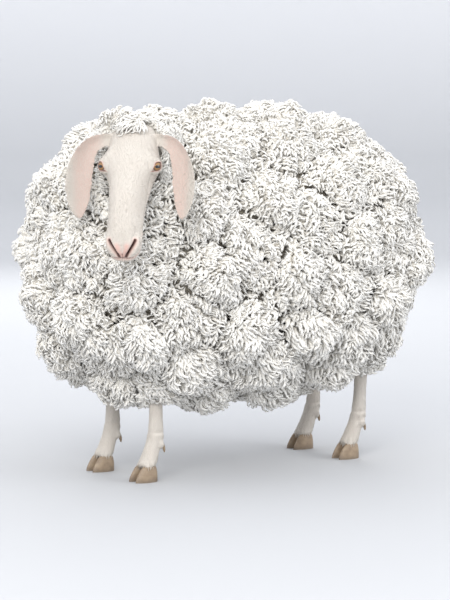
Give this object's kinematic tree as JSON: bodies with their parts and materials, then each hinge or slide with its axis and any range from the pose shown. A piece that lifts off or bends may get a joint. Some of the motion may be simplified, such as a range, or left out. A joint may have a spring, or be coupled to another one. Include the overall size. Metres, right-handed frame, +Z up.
{
  "type": "sheep",
  "caption": "Life-size standing sheep in full curly fleece, with lop ears, a bare face, slim bare legs and cloven hooves, its head turned to its left.",
  "frame": {"origin": "on the floor, below the middle of the bounding box", "axes": "+Z is up; the sheep faces -X along its longest side; its left side is towards -Y"},
  "size_m": [1.1176, 0.683, 0.8762],
  "materials": {
    "wool": "dense curly wool, creamy white",
    "hair": "short white hair over pink skin",
    "horn": "dull ridged horn",
    "eye": "wet and clear, amber iris"
  },
  "bodies": {
    "root": {"ear_left": "hair", "ear_right": "hair", "eye_left": "eye", "eye_right": "eye", "fore_left_cannon": "hair", "fore_left_claw_inner": "horn", "fore_left_claw_outer": "horn", "fore_left_dewclaw_inner": "horn", "fore_left_dewclaw_outer": "horn", "fore_left_forearm": "hair", "fore_left_pastern": "hair", "fore_right_cannon": "hair", "fore_right_claw_inner": "horn", "fore_right_claw_outer": "horn", "fore_right_dewclaw_inner": "horn", "fore_right_dewclaw_outer": "horn", "fore_right_forearm": "hair", "fore_right_pastern": "hair", "head": "hair", "hind_left_cannon": "hair", "hind_left_claw_inner": "horn", "hind_left_claw_outer": "horn", "hind_left_dewclaw_inner": "horn", "hind_left_dewclaw_outer": "horn", "hind_left_gaskin": "hair", "hind_left_pastern": "hair", "hind_right_cannon": "hair", "hind_right_claw_inner": "horn", "hind_right_claw_outer": "horn", "hind_right_dewclaw_inner": "horn", "hind_right_dewclaw_outer": "horn", "hind_right_gaskin": "hair", "hind_right_pastern": "hair", "neck": "wool", "tail": "wool", "topknot": "wool", "trunk": "wool"}
  },
  "joints": []
}
